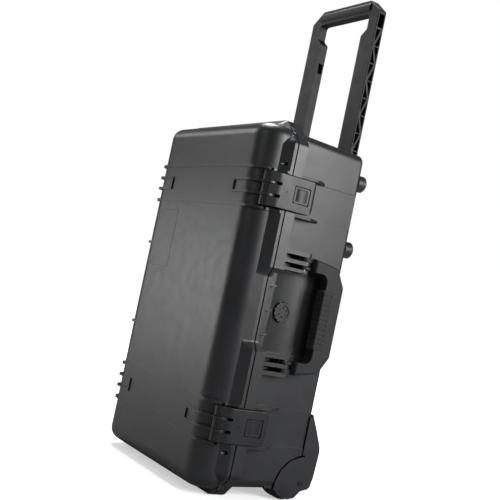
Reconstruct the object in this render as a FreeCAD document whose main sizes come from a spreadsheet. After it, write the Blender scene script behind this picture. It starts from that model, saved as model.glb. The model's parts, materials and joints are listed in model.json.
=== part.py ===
import FreeCAD, Part
import math
import os
import sys
from types import SimpleNamespace

import Sketcher

# A hard-shell rolling carrying case for a drone, standing upright on its wheels and lower flange.
# X runs across the case, from the hinge side (-X) to the latch and handle side (+X).
# Y runs from the lid's face (-Y) to the base's bottom (+Y), where the wheels, feet and trolley are.
# Z runs up along the case, from the floor (0). All lengths are millimetres.
# Depths are given from the parting plane between lid and base: see behind() and before().

doc = FreeCAD.newDocument("DroneCase")

SIZES = (
    # Overall shell
    ("case_length", 551, "flange end to flange end"),
    ("flange_half_width", 168.8, "middle to the flange's outer face"),
    ("corner_chamfer", 33.6, "chamfer leg at the flange's corners"),
    ("parting", -58.35, "Y of the parting plane"),
    ("wall", 4.5, "moulded wall"),
    ("lid_depth", 51.1, "parting plane to the lid's flat face"),
    ("rib_rise", 2.2, "height of the U-shaped ribs on the lid's face"),
    ("cross_rib_rise", 0.8, "height of the cross ribs on the lid's face"),
    ("fin_width", 3.4, "thickness of the lid's thin fins"),
    ("loop_tip", 96.2, "closed end of the U-shaped ribs from the middle"),
    ("loop_half_gap", 9, "latch's middle to each arm of the U"),
    ("parting_gap", 2, "groove left round the outside between the flanges"),
    ("base_depth", 137, "parting plane to the base's bottom wall"),
    # Lid
    ("dome_half_width", 158, "half width of the lid's raised part"),
    ("dome_inset", 10.5, "lid's raised part from the flange's end"),
    ("dome_edge", 34, "radius of the lid's long edges"),
    ("dome_corner", 20, "radius of the lid's end edges and corners"),
    ("lid_band", 7, "height of the lid flange's upright band"),
    ("lid_skirt", 21, "height at which the slanted skirt meets the raised part"),
    ("skirt_inset", 11, "how far the skirt leans in from the flange's edge"),
    ("lid_cavity_half_width", 145, "half width of the hollow in the lid"),
    # Base
    ("base_half_width", 153, "half width of the base at the parting plane"),
    ("base_inset", 13.5, "base wall from the flange's end, at the parting plane"),
    ("base_draft", 4, "how far each base wall leans in over its depth"),
    ("base_corner", 14, "radius of the base's corners"),
    ("base_edge", 6, "radius of the base's bottom edge"),
    ("base_band", 17, "height of the base flange's band"),
    ("base_cavity_half_width", 147, "half width of the hollow in the base"),
    # Latches and hinges
    ("band_upper", 444, "Z of the upper latch and hinge"),
    ("band_lower", 107, "Z of the lower latch and hinge"),
    ("rib_offset", 28.5, "latch band's middle to each of its ribs"),
    ("rib_width", 4, "width of the latch band's ribs"),
    ("latch_half_height", 25, "half the latch's size along Z"),
    ("latch_face", 173.3, "X of the latch's outer face"),
    ("latch_end", 44, "latch's free end behind the parting plane"),
    ("latch_pivot_x", 158, "X of the latch's pivot"),
    ("latch_pivot_rise", 30.5, "latch's pivot before the parting plane"),
    ("latch_knuckle", 10, "radius of the latch's knuckles"),
    ("latch_bend", 21, "bend of the latch's plate before the parting plane"),
    ("hinge_x", 171.8, "hinge axis from the middle"),
    ("hinge_knuckle", 7, "radius of the hinge's knuckles"),
    ("pin_radius", 3, "radius of every hinge, latch and handle pin"),
    ("running_gap", 0.05, "clearance between a pin and what turns on it"),
    ("padlock_x", 163, "padlock holes from the middle"),
    ("padlock_offset", 39.5, "padlock hole from its latch's middle"),
    ("padlock_radius", 3, "radius of the padlock holes"),
    # Carry handle
    ("middle_z", 275.5, "Z half way up the case"),
    ("handle_face", 178.8, "X of the handle's outer face"),
    ("handle_thickness", 17, "handle from outer to inner face"),
    ("handle_pivot_x", 161, "X of the handle's pivot"),
    ("handle_pivot_depth", 57, "handle's pivot behind the parting plane"),
    ("handle_half_length", 85.5, "middle to the outer side of the handle's legs"),
    ("handle_leg", 19, "width of the handle's legs"),
    ("grip_inner", 91, "inner edge of the grip"),
    ("grip_outer", 124, "outer edge of the grip"),
    ("lug_radius", 8, "radius of the handle's lugs round the pin"),
    # Trolley handle
    ("trolley_top", 801, "top of the extended trolley handle"),
    ("trolley_travel", 245, "how far the trolley handle slides in"),
    ("leg_length", 431, "top of the trolley handle to the foot of its legs"),
    ("catch_z", 455, "Z of the trolley catches"),
    ("leg_outer", 90, "middle to the trolley leg's outer side"),
    ("leg_width", 35.4, "trolley leg along X"),
    ("leg_front", 151.5, "trolley leg's front face"),
    ("leg_depth", 15.6, "trolley leg from front to back"),
    ("leg_wall", 2.4, "walls of the trolley leg's pockets"),
    ("leg_pitch", 28.8, "spacing of the leg's cross walls"),
    ("housing_half_width", 93, "half width of the trolley housing"),
    ("housing_bottom", 122, "lower end of the trolley housing"),
    ("housing_top", 530, "upper end of the trolley housing"),
    ("housing_back", 169.6, "back face of the trolley housing"),
    # Wheels and feet
    ("wheel_depth", 118, "wheel's axle behind the parting plane"),
    ("wheel_radius", 34, "rolling radius"),
    ("wheel_width", 28, "tyre along X"),
    ("wheel_x", 129, "middle of the wheel from the case's middle"),
    ("axle_radius", 4, "radius of the axle"),
    ("arch_radius", 48.3, "radius of the pod's part in the wheel arch"),
    ("arch_gap", 2, "gap round the pod in the arch"),
    ("arch_depth", 139.3, "middle of the wheel arch behind the parting plane"),
    ("arch_z", 20, "Z of the middle of the wheel arch"),
    ("pod_outer", 151, "outer face of the wheel pod"),
    ("pod_boss_z", 100, "Z of the screw boss in the pod"),
    ("foot_radius", 13, "radius of the feet"),
    ("foot_x", 113, "feet from the middle"),
    ("foot_upper", 496, "Z of the upper feet"),
    ("foot_lower", 390, "Z of the lower feet"),
    ("foot_end", 170, "feet's tips behind the parting plane"),
    ("screw_radius", 2, "shank radius of the screws"),
    # Foam lining
    ("foam_half_width", 138, "half width of the foam in the base"),
    ("foam_bottom", 23, "lower end of the foam"),
    ("foam_top", 528, "upper end of the foam"),
    ("foam_depth", 117, "back of the foam block"),
)


class Size:
    """A length, kept with the sheet expression that gives it."""

    def __init__(self, value, text):
        self.value = value
        self.text = text

    def __add__(self, other):
        other = as_size(other)
        return Size(self.value + other.value, f"({self.text} + {other.text})")

    def __sub__(self, other):
        other = as_size(other)
        return Size(self.value - other.value, f"({self.text} - {other.text})")

    def __mul__(self, other):
        other = as_size(other)
        return Size(self.value * other.value, f"({self.text} * {other.text})")

    def __radd__(self, other):
        return as_size(other) + self

    def __rsub__(self, other):
        return as_size(other) - self

    def __rmul__(self, other):
        return as_size(other) * self

    def __neg__(self):
        return as_size(-1) * self


def as_size(number):
    """A plain number as a Size, so that both can be bound in the same way."""
    if isinstance(number, Size):
        return number
    return Size(float(number), f"({float(number)!r})")


def make_sheet():
    """The spreadsheet of driving dimensions, and the named sizes that refer to it."""
    sheet = doc.addObject("Spreadsheet::Sheet", "Sizes")
    named = SimpleNamespace()
    for row, (alias, value, meaning) in enumerate(SIZES, start=1):
        sheet.set(f"A{row}", alias)
        sheet.set(f"B{row}", str(value))
        sheet.set(f"C{row}", meaning)
        sheet.setAlias(f"B{row}", alias)
        setattr(named, alias, Size(float(value), f"Sizes.{alias}"))
    doc.recompute()
    return named


d = make_sheet()
PLANE = {"x": "YZ_Plane", "y": "XZ_Plane", "z": "XY_Plane"}
IN_PLANE = {"x": "yz", "y": "xz", "z": "xy"}
TOUCH = 0.01


def behind(depth):
    """The Y of a point this far behind the parting plane, in the base."""
    return d.parting + depth


def before(rise):
    """The Y of a point this far in front of the parting plane, in the lid."""
    return d.parting - rise


def bind(thing, prop, size):
    thing.setExpression(prop, as_size(size).text)


def ident(name):
    return "".join(c if c.isalnum() else "_" for c in name)


def new(kind, name):
    thing = doc.addObject(kind, ident(name))
    thing.Label = name
    return thing


# --- solids -------------------------------------------------------------------------------------


def sketch_in(body, axis, at, points):
    """A closed outline in the plane across the axis, its corners bound to their sizes."""
    sketch = body.newObject("Sketcher::SketchObject", body.Name + "_outline")
    plane = next(f for f in body.Origin.OriginFeatures if f.Role == PLANE[axis])
    sketch.AttachmentSupport = [(plane, "")]
    sketch.MapMode = "FlatFace"
    # The XZ plane's normal points along -Y.
    bind(sketch, "AttachmentOffset.Base.z", -as_size(at) if axis == "y" else at)
    corners = [(as_size(p[0]), as_size(p[1])) for p in points]
    spots = [FreeCAD.Vector(a.value, b.value, 0) for a, b in corners]
    count = len(spots)
    for i in range(count):
        sketch.addGeometry(Part.LineSegment(spots[i], spots[(i + 1) % count]), False)
    for i in range(count):
        sketch.addConstraint(Sketcher.Constraint("Coincident", i, 2, (i + 1) % count, 1))
    for i, corner in enumerate(corners):
        for kind, size in zip(("DistanceX", "DistanceY"), corner):
            held = sketch.addConstraint(Sketcher.Constraint(kind, -1, 1, i, 1, size.value))
            bind(sketch, f"Constraints[{held}]", size)
    return sketch


def place(axis, a, b, along):
    """The point at (a, b) in the plane across the axis, at a distance along it."""
    spot = dict(zip(IN_PLANE[axis], (a, b)))
    spot[axis] = along
    return FreeCAD.Vector(*(as_size(spot[side]).value for side in "xyz"))


def add_fillet(body, edges, radius):
    """A fillet on the body's tip, over the edges of the given names."""
    tip = body.Tip
    feature = body.newObject("PartDesign::Fillet", body.Name + "_round")
    feature.Base = (tip, edges)
    bind(feature, "Radius", radius)
    body.Tip = feature
    doc.recompute()


def side_edges(body, axis, corners, at):
    """The edges that rise out of the outline's plane from the given corners."""
    names = []
    for corner in corners:
        spot = place(axis, corner[0], corner[1], at)
        for number, edge in enumerate(body.Shape.Edges, start=1):
            ends = [v.Point for v in edge.Vertexes]
            rises = abs(getattr(ends[0] - ends[-1], axis)) > TOUCH
            if rises and min((end - spot).Length for end in ends) < TOUCH:
                names.append(f"Edge{number}")
    return names


def end_edges(body, axis, at):
    """Every edge of the end face at this distance along the axis."""
    level = as_size(at).value
    names = []
    for number, edge in enumerate(body.Shape.Edges, start=1):
        bounds = edge.BoundBox
        low = getattr(bounds, axis.upper() + "Min")
        high = getattr(bounds, axis.upper() + "Max")
        if abs(low - level) < TOUCH and abs(high - level) < TOUCH:
            names.append(f"Edge{number}")
    return names


def round_sides(body, axis, points, at):
    """Rounds the side edges at the outline's corners that give a radius as their third value."""
    groups = {}
    for point in points:
        if len(point) == 3:
            size = as_size(point[2])
            groups.setdefault(size.text, (size, []))[1].append(point)
    for size, corners in groups.values():
        add_fillet(body, side_edges(body, axis, corners, at), size)


def round_end(body, axis, at, radius):
    add_fillet(body, end_edges(body, axis, at), radius)


def prism(name, axis, points, low, high, low_round=None, high_round=None, draft=None):
    """An outline made solid between two distances along the axis.

    With a draft, its sides lean in by that much on the way.
    """
    body = new("PartDesign::Body", name)
    pad = body.newObject("PartDesign::Pad", body.Name + "_pad")
    pad.Profile = sketch_in(body, axis, low, points)
    length = high - low
    bind(pad, "Length", length)
    # The XZ plane's normal points along -Y.
    pad.Reversed = axis == "y"
    if draft:
        pad.setExpression("TaperAngle", f"-atan({as_size(draft).text} / {as_size(length).text})")
    body.Tip = pad
    doc.recompute()
    round_sides(body, axis, points, low)
    if low_round:
        round_end(body, axis, low, low_round)
    if high_round:
        round_end(body, axis, high, high_round)
    return body


def turned(name, axis, centre, points):
    """A solid of revolution about a line along the axis; each point is (along, radius)."""
    body = new("PartDesign::Body", name)
    across = "y" if axis == "z" else "z"
    middle = dict(zip(IN_PLANE[axis], centre))
    if axis == "x":
        outline = [(along, middle["y"] + radius) for along, radius in points]
        line = [(0, middle["y"]), (10, middle["y"])]
    else:
        outline = [(middle["x"] + radius, along) for along, radius in points]
        line = [(middle["x"], 0), (middle["x"], 10)]
    sketch = sketch_in(body, across, middle[across], outline)
    ends = [FreeCAD.Vector(as_size(a).value, as_size(b).value, 0) for a, b in line]
    axle = sketch.addGeometry(Part.LineSegment(*ends), True)
    for point, corner in zip((1, 2), line):
        for kind, size in zip(("DistanceX", "DistanceY"), map(as_size, corner)):
            held = sketch.addConstraint(Sketcher.Constraint(kind, -1, 1, axle, point, size.value))
            bind(sketch, f"Constraints[{held}]", size)
    spin = body.newObject("PartDesign::Revolution", body.Name + "_turn")
    spin.Profile = sketch
    spin.ReferenceAxis = (sketch, ["Axis0"])
    spin.Angle = 360
    body.Tip = spin
    doc.recompute()
    return body


def box(name, x, y, z):
    """A block between the low and high limits given for each axis."""
    part = new("Part::Box", name)
    for prop, side, (low, high) in zip(("Length", "Width", "Height"), "xyz", (x, y, z)):
        bind(part, prop, high - low)
        bind(part, "Placement.Base." + side, low)
    return part


def rod(name, axis, centre, radius, low, high):
    """A round bar along the axis."""
    part = new("Part::Cylinder", name)
    bind(part, "Radius", radius)
    bind(part, "Height", high - low)
    turn = {"x": ((0, 1, 0), 90), "y": ((1, 0, 0), -90), "z": ((0, 0, 1), 0)}[axis]
    part.Placement = FreeCAD.Placement(
        FreeCAD.Vector(), FreeCAD.Rotation(FreeCAD.Vector(*turn[0]), turn[1])
    )
    for side, size in zip(IN_PLANE[axis], centre):
        bind(part, "Placement.Base." + side, size)
    bind(part, "Placement.Base." + axis, low)
    return part


def fuse(name, *parts):
    if len(parts) == 1:
        return parts[0]
    joined = new("Part::MultiFuse", name)
    joined.Shapes = list(parts)
    joined.Refine = True
    return joined


def group(name, parts):
    """Separate solids kept together in one node."""
    together = new("Part::Compound", name)
    together.Links = list(parts)
    return together


def cut(name, base, *tools):
    rest = new("Part::Cut", name)
    rest.Base = base
    rest.Tool = fuse(name + " tools", *tools)
    rest.Refine = True
    return rest


def common(name, first, second):
    shared = new("Part::Common", name)
    shared.Base = first
    shared.Tool = second
    return shared


def span(middle, half):
    return (middle - half, middle + half)


def sides(sign, inner, outer):
    """Limits along X on one side of the case: sign is 1 for +X and -1 for -X."""
    return (inner, outer) if sign > 0 else (-as_size(outer), -as_size(inner))


NODES = {}


def keep(name, part):
    """Names a finished sub-part, which is written under that name."""
    part.Label = name
    NODES[name] = part
    return part


BANDS = {"upper": d.band_upper, "lower": d.band_lower}
SIDES = {"left": -1, "right": 1}


def flange_outline(inset, radius=None):
    """The flange seen along Y: a rectangle with chamfered corners, drawn in by an inset."""
    # The chamfer's leg shrinks by 2 - sqrt(2) of the inset, so that all sides draw in alike.
    leg = d.corner_chamfer - (2 - math.sqrt(2)) * as_size(inset)
    wide = d.flange_half_width - inset
    low = as_size(inset)
    high = d.case_length - inset
    corners = [
        (-wide, low + leg),
        (-wide + leg, low),
        (wide - leg, low),
        (wide, low + leg),
        (wide, high - leg),
        (wide - leg, high),
        (-wide + leg, high),
        (-wide, high - leg),
    ]
    return [(*corner, radius) for corner in corners] if radius else corners


def rectangle(half_width, inset, radius=None):
    low = as_size(inset)
    high = d.case_length - inset
    corners = [(-half_width, low), (half_width, low), (half_width, high), (-half_width, high)]
    return [(*corner, radius) for corner in corners] if radius else corners


# --- base ---------------------------------------------------------------------------------------


def base_wall():
    """The tub's outside: a drafted box with round corners and a round bottom edge."""
    return prism(
        "base wall",
        "y",
        rectangle(d.base_half_width, d.base_inset, d.base_corner),
        behind(0),
        behind(d.base_depth),
        high_round=d.base_edge,
        draft=d.base_draft,
    )


def base_cavity():
    """The hollow of the tub, open at the parting plane."""
    inset = d.base_inset + d.wall
    return prism(
        "base cavity",
        "y",
        rectangle(d.base_cavity_half_width, inset, d.base_corner - 4),
        behind(-5),
        behind(d.base_depth - d.wall),
        high_round=d.base_edge + 2,
        draft=d.base_draft,
    )


def flange_channel(wall):
    """The open channel under the base's flange, crossed by gussets."""
    ring = prism(
        "flange channel", "y", flange_outline(d.wall), behind(5), behind(d.base_band + 4)
    )
    gussets = []
    reach = span(as_size(0), 180)
    for z in (45, 172, 200, 240, 275.5, 311, 351, 380, 506):
        gussets.append(box("gusset", reach, (behind(4), behind(30)), span(as_size(z), 1.5)))
    for x in (-120, -80, -40, 0, 40, 80, 120):
        gussets.append(box("gusset", span(as_size(x), 1.5), (behind(4), behind(30)), (-5, 560)))
    for z in BANDS.values():
        gussets.append(box("solid band", reach, (behind(4), behind(30)), span(z, 31)))
    return cut("flange channel open", ring, wall, *gussets)


def band_ribs(z):
    """The two ribs on each long side that frame a latch or hinge band on the base."""
    ribs = []
    for side, sign in SIDES.items():
        for way in (-1, 1):
            middle = z + d.rib_offset * way
            points = [
                (sign * (d.base_half_width - 6), behind(12)),
                (sign * d.flange_half_width, behind(12)),
                (sign * (d.flange_half_width - 2.5), behind(50), 14),
                (sign * (d.base_half_width - 2.5), behind(72)),
                (sign * (d.base_half_width - 6), behind(72)),
            ]
            low, high = span(middle, d.rib_width * 0.5)
            ribs.append(prism(f"band rib {side}", "z", points, low, high))
    return ribs


def panel_band(z):
    """A shallow sunken band in the wall, from the flange down to the bottom."""
    bands = []
    sunk = 1.2
    for sign in SIDES.values():
        wall_top = sign * (d.base_half_width - sunk)
        wall_foot = sign * (d.base_half_width - d.base_draft - sunk)
        points = [
            (wall_top, behind(d.base_band)),
            (sign * (d.base_half_width + 12), behind(d.base_band)),
            (sign * (d.base_half_width + 12), behind(d.base_depth)),
            (wall_foot, behind(d.base_depth)),
        ]
        low, high = span(z, d.rib_offset - d.rib_width * 0.5)
        bands.append(prism("sunken band", "z", points, low, high))
    return bands


# Each ear's two levels from the handle's middle.
LUG_LEVELS = ((61.5, 66.2), (72.9, 78.6), (85.4, 91.5))


def handle_lugs():
    """Three upright ears at each end of the carry handle, with slots between them."""
    ears = []
    for way in (-1, 1):
        for inner, outer in LUG_LEVELS:
            low, high = sorted((way * inner, way * outer))
            far = behind(d.handle_pivot_depth + d.lug_radius)
            points = [
                (d.base_half_width - 5, behind(12)),
                (d.flange_half_width, behind(12)),
                (d.flange_half_width, far, d.lug_radius - 0.1),
                (d.base_half_width - 5, far),
            ]
            ears.append(prism("handle lug", "z", points, d.middle_z + low, d.middle_z + high))
    return ears


def lug_slots():
    """Deep slots between the ears, which the handle's tongues turn in."""
    slots = []
    deep = (145.5, d.base_half_width + 3)
    reach = (behind(d.base_band + 1), behind(d.handle_pivot_depth + d.lug_radius))
    for near, far in zip(LUG_LEVELS, LUG_LEVELS[1:]):
        for way in (-1, 1):
            low, high = sorted((way * near[1], way * far[0]))
            slots.append(box("lug slot", deep, reach, (d.middle_z + low, d.middle_z + high)))
    return slots


def handle_pin_bores(radius):
    centre = (d.handle_pivot_x, behind(d.handle_pivot_depth))
    return [
        rod("handle bore", "z", centre, radius, d.middle_z + low, d.middle_z + high)
        for low, high in ((-95, -58), (58, 95))
    ]


def side_recess(low, high, wider=0, draft=None):
    """The jog in the flange beside the carry handle, cut between two Y levels.

    It can be cut wider all round, and lean with a draft to follow a slanted skirt.
    """
    deep = d.flange_half_width - 8.3 - wider
    out = d.flange_half_width + 6
    points = [
        (out, d.middle_z - 64 - wider),
        (d.flange_half_width, d.middle_z - 60.5 - wider, 5),
        (deep, d.middle_z - 48 - wider * 0.5, 6),
        (deep, d.middle_z + 48 + wider * 0.5, 6),
        (d.flange_half_width, d.middle_z + 60.5 + wider, 5),
        (out, d.middle_z + 64 + wider),
    ]
    return prism("flange jog", "y", points, low, high, draft=draft)


def handle_recess():
    """The scooped hollow behind the carry handle: part of a wide cylinder with rounded ends."""
    deepest = 147
    radius = 190
    depth = 64
    scoop = rod(
        "recess scoop",
        "z",
        (deepest + radius, behind(depth)),
        radius,
        d.middle_z - 58.5,
        d.middle_z + 58.5,
    )
    limits = prism(
        "recess limits",
        "x",
        [
            (behind(d.base_band), d.middle_z - 58.5),
            (behind(112), d.middle_z - 58.5, 24),
            (behind(112), d.middle_z + 58.5, 24),
            (behind(d.base_band), d.middle_z + 58.5),
        ],
        as_size(deepest - 1),
        as_size(180),
    )
    return common("handle recess", scoop, limits)


def wheel_well(sign):
    """The space in the base for a wheel, and the arch where its pod shows at the side."""
    skin = d.base_half_width - d.base_draft - 5
    arch = (behind(d.arch_depth), d.arch_z)
    inner = d.wheel_x - d.wheel_width * 0.5 - 11
    wheel = (behind(d.wheel_depth), d.wheel_radius)
    low, high = sides(sign, inner, skin)
    well = rod("well", "x", wheel, d.wheel_radius + 4, low, high)
    inner_arch = rod("inner arch", "x", arch, d.arch_radius + d.arch_gap, low, high)
    low, high = sides(sign, inner, d.base_half_width + 5)
    outer_arch = rod("outer arch", "x", arch, d.arch_radius + d.arch_gap, low, high)
    return [well, inner_arch, outer_arch]


def wheel_block(sign):
    """The thick corner inside the base that closes off the wheel well."""
    inner = d.wheel_x - d.wheel_width * 0.5 - 15
    return box(
        "wheel block",
        sides(sign, inner, d.base_half_width - 5),
        (behind(76), behind(d.base_depth - 2)),
        (d.base_inset + 4, 77),
    )


def hinge_parts(z, top):
    """Knuckles of one hinge for the lid (top) or the base, with the web that carries them."""
    zones = ((5, 14), (-14, -5)) if top else ((-25, -15), (-4, 4), (15, 25))
    centre = (-d.hinge_x, behind(0))
    parts = []
    web_x = (-d.hinge_x, -d.base_half_width - 2)
    web_y = (before(d.hinge_knuckle), before(0.4)) if top else (behind(0.4), behind(d.hinge_knuckle))
    for low, high in zones:
        levels = (z + low, z + high)
        parts.append(rod("knuckle", "z", centre, d.hinge_knuckle, *levels))
        parts.append(box("knuckle web", web_x, web_y, levels))
    return parts


def hinge_clearance(z):
    low, high = span(z, 25.6)
    return rod("hinge room", "z", (-d.hinge_x, behind(0)), d.hinge_knuckle + 0.8, low, high)


def hinge_bore(z, radius):
    return rod("hinge bore", "z", (-d.hinge_x, behind(0)), radius, z - 30, z + 30)


def latch_notch(z, low, high):
    """The gap in the flange that a latch lies in."""
    half = d.latch_half_height + 1
    return box("latch notch", (d.latch_pivot_x, d.latch_pivot_x + 30), (low, high), span(z, half))


def padlock_spot(z):
    """The padlock hole beside a latch, on the side away from the case's middle."""
    away = 1 if z is d.band_upper else -1
    return (d.padlock_x, z + d.padlock_offset * away)


HINGES = (d.band_upper, d.middle_z, d.band_lower)
HOUSING_SCREWS = tuple((x, z) for x in (-40, 40) for z in (150, 326, 505))
FEET = {"upper": d.foot_upper, "lower": d.foot_lower}


def base_shell():
    wall = base_wall()
    flange = prism("base flange", "y", flange_outline(0, 10), behind(0), behind(d.base_band))
    tub = cut("tub", fuse("tub outside", wall, flange), base_cavity(), flange_channel(wall))

    added = []
    for z in BANDS.values():
        added += band_ribs(z)
    added += handle_lugs()
    added += [wheel_block(sign) for sign in SIDES.values()]
    backing = box("recess backing", (141, 149), (behind(12), behind(112)), span(d.middle_z, 95))
    added.append(backing)
    ridge = cut(
        "seal ridge",
        prism("ridge outside", "y", rectangle(153.5, 11.5, 8), before(3), behind(1)),
        prism("ridge inside", "y", rectangle(150.5, 14.5, 6), before(4), behind(2)),
    )
    added.append(ridge)
    body = fuse("base with ribs", tub, *added)

    removed = [side_recess(before(30), behind(d.base_band))]
    removed.append(handle_recess())
    removed += lug_slots()
    for z in BANDS.values():
        removed += panel_band(z)
        removed.append(latch_notch(z, before(30), behind(d.base_band + 2)))
        removed.append(
            rod("padlock hole", "y", padlock_spot(z), d.padlock_radius, before(40), behind(40))
        )
    removed += [hinge_clearance(z) for z in HINGES]
    for sign in SIDES.values():
        removed += wheel_well(sign)
    body = cut("base recessed", body, *removed)

    late = []
    for z in BANDS.values():
        strike_y = (behind(13), behind(20))
        late.append(box("strike", (d.base_half_width - 3, 163.5), strike_y, span(z, 20)))
    for z in HINGES:
        late += hinge_parts(z, top=False)
    body = fuse("base with strikes", body, *late)

    bores = handle_pin_bores(d.pin_radius) + [hinge_bore(z, d.pin_radius) for z in HINGES]
    for x, z in HOUSING_SCREWS:
        bores.append(rod("screw hole", "y", (x, z), d.screw_radius, behind(120), behind(150)))
    for sign in SIDES.values():
        boss = (sign * d.wheel_x, d.pod_boss_z)
        bores.append(rod("screw hole", "y", boss, d.screw_radius, behind(130), behind(150)))
        inside = d.base_depth - d.wall
        bores.append(rod("head sink", "y", boss, 4.3, behind(inside - 1), behind(inside + 2.2)))
        for z in FEET.values():
            centre = (sign * d.foot_x, z)
            bores.append(rod("screw hole", "y", centre, d.screw_radius, behind(120), behind(150)))
    valve = (behind(41), d.middle_z)
    bores.append(rod("valve hole", "x", valve, 9, 130, 160))
    bores.append(rod("valve seat", "x", valve, 16, 147, 160))
    keep("base_shell", cut("base_shell", body, *bores))


# --- lid ----------------------------------------------------------------------------------------


def lid_section(name, rise, z_low, z_high):
    """A fin across the lid: it rises from the face and stands out over the rounded edges."""
    out = d.dome_half_width + 2
    radius = d.dome_edge - 9
    edge = d.flange_half_width - 0.2
    points = [
        (-edge, before(d.lid_band - 3)),
        (-edge, before(d.lid_band + 3)),
        (-out, before(d.lid_skirt + 2)),
        (-out, before(d.lid_depth + rise), radius),
        (out, before(d.lid_depth + rise), radius),
        (out, before(d.lid_skirt + 2)),
        (edge, before(d.lid_band + 3)),
        (edge, before(d.lid_band - 3)),
    ]
    return prism(name, "z", points, z_low, z_high)


def cross_ribs():
    """A low rib over the lid at each side of both latch bands."""
    ribs = []
    for z in BANDS.values():
        for way in (-1, 1):
            low, high = span(z + d.rib_offset * way, d.rib_width * 0.5)
            ribs.append(lid_section("cross rib", d.cross_rib_rise, low, high))
    return ribs


def hinge_fins():
    """Two fins on the hinge side's rounded edge, above and below the middle hinge."""
    fins = []
    for way in (-1, 1):
        low, high = span(d.middle_z + 67.5 * way, d.fin_width * 0.5)
        fins.append(lid_section("hinge fin", 0, low, high))
    away = box("beyond fins", (-120, 180), (before(80), before(0)), span(d.middle_z, 80))
    return cut("hinge fins", fuse("hinge fins full", *fins), away)


def loop_ribs(z):
    """Thin U-shaped ribs from the lid's face over its edges, to the latch and the hinge."""
    tip = d.loop_tip
    half = d.fin_width * 0.5
    arms = []
    for way in (-1, 1):
        low, high = span(z + d.loop_half_gap * way, half)
        arms.append(lid_section("loop arm", d.rib_rise, low, high))
    middle = box("between loops", span(as_size(0), tip), (before(80), before(0)), span(z, 14))
    bars = cut("loop arms", fuse("loop arms full", *arms), middle)
    face = (before(d.lid_depth + d.rib_rise), before(d.lid_depth - 1))
    ends = []
    for sign in SIDES.values():
        limits = sides(sign, tip, tip + d.fin_width)
        ends.append(box("loop end", limits, face, span(z, d.loop_half_gap + half)))
    return [bars, *ends]


def latch_lugs(z):
    """Two ears on the lid that hold a latch's pin."""
    lugs = []
    pivot = (d.latch_pivot_x, before(d.latch_pivot_rise))
    for way in (-1, 1):
        low, high = span(z + 9 * way, 1.75)
        lugs.append(rod("latch lug", "z", pivot, d.latch_knuckle + 2, low, high))
        web_y = span(before(d.latch_pivot_rise), 8.5)
        lugs.append(box("latch lug web", (145.5, d.latch_pivot_x), web_y, (low, high)))
    return lugs


def seal_groove():
    return cut(
        "seal groove",
        prism("groove outside", "y", rectangle(154.5, 10.5, 9), before(6), behind(1)),
        prism("groove inside", "y", rectangle(149.5, 15.5, 5), before(7), behind(2)),
    )


def lid_dome():
    """The lid's raised part, with wide long edges and closer ends and corners."""
    back = behind(d.dome_corner + 2)
    section = [
        (-d.dome_half_width, back),
        (-d.dome_half_width, before(d.lid_depth), d.dome_edge),
        (d.dome_half_width, before(d.lid_depth), d.dome_edge),
        (d.dome_half_width, back),
    ]
    full = prism(
        "dome full",
        "z",
        section,
        d.dome_inset,
        d.case_length - d.dome_inset,
        low_round=d.dome_corner,
        high_round=d.dome_corner,
    )
    front = box("dome limits", (-170, 170), (before(60), before(d.lid_band - 2)), (0, d.case_length))
    return common("lid dome", full, front)


def lid_shell():
    band = prism("lid band", "y", flange_outline(0, 10), before(d.lid_band), behind(0))
    skirt = prism(
        "lid skirt",
        "y",
        flange_outline(d.skirt_inset, 10),
        before(d.lid_skirt),
        before(d.lid_band),
        draft=-d.skirt_inset,
    )
    ribs = [*cross_ribs(), hinge_fins()]
    for z in BANDS.values():
        ribs += loop_ribs(z)
    body = fuse("lid outside", lid_dome(), band, skirt, *ribs)

    cavity = prism(
        "lid cavity",
        "y",
        rectangle(d.lid_cavity_half_width, 19, 24),
        before(d.lid_depth - 4.1),
        behind(5),
        low_round=16,
    )
    rebate = cut(
        "parting groove",
        prism("groove ring", "y", flange_outline(-2), before(d.parting_gap), behind(1)),
        prism("groove core", "y", flange_outline(3, 8), before(4), behind(4)),
    )
    removed = [
        cavity,
        seal_groove(),
        rebate,
        side_recess(before(d.lid_band), behind(5)),
        side_recess(before(d.lid_skirt + 1), before(d.lid_band), wider=3, draft=3),
        side_recess(before(d.parting_gap), behind(1), wider=2),
    ]
    pivot_y = before(d.latch_pivot_rise)
    for z in BANDS.values():
        removed.append(latch_notch(z, pivot_y, behind(5)))
        low, high = span(z, d.latch_half_height + 1)
        pivot = (d.latch_pivot_x, pivot_y)
        removed.append(rod("knuckle room", "z", pivot, d.latch_knuckle + 0.8, low, high))
        removed.append(
            rod("padlock hole", "y", padlock_spot(z), d.padlock_radius, before(40), behind(40))
        )
    removed += [hinge_clearance(z) for z in HINGES]
    plate = box("plate recess", (-116, -57), (before(60), before(d.lid_depth - 0.6)), (306, 400))
    removed.append(plate)
    body = cut("lid recessed", body, *removed)

    late = []
    for z in BANDS.values():
        late += latch_lugs(z)
    for z in HINGES:
        late += hinge_parts(z, top=True)
    body = fuse("lid with lugs", body, *late)
    bores = [hinge_bore(z, d.pin_radius + d.running_gap) for z in HINGES]
    for z in BANDS.values():
        pivot = (d.latch_pivot_x, pivot_y)
        bores.append(rod("latch bore", "z", pivot, d.pin_radius, z - 30, z + 30))
    keep("lid_shell", cut("lid_shell", body, *bores))

    plate_y = (before(d.lid_depth + 0.2), before(d.lid_depth - 0.6))
    keep("blank_plate", box("blank_plate", (-115.8, -57.2), plate_y, (306.2, 399.8)))
    seal = cut(
        "lid_seal",
        prism("seal outside", "y", rectangle(154.4, 10.6, 9), before(6), before(3.1)),
        prism("seal inside", "y", rectangle(149.6, 15.4, 5), before(7), behind(0)),
    )
    keep("lid_seal", seal)


def hinge_pins():
    centre = (-d.hinge_x, behind(0))
    pins = [rod("hinge pin", "z", centre, d.pin_radius, z - 25, z + 25) for z in HINGES]
    keep("hinge_pins", group("hinge_pins", pins))


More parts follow.
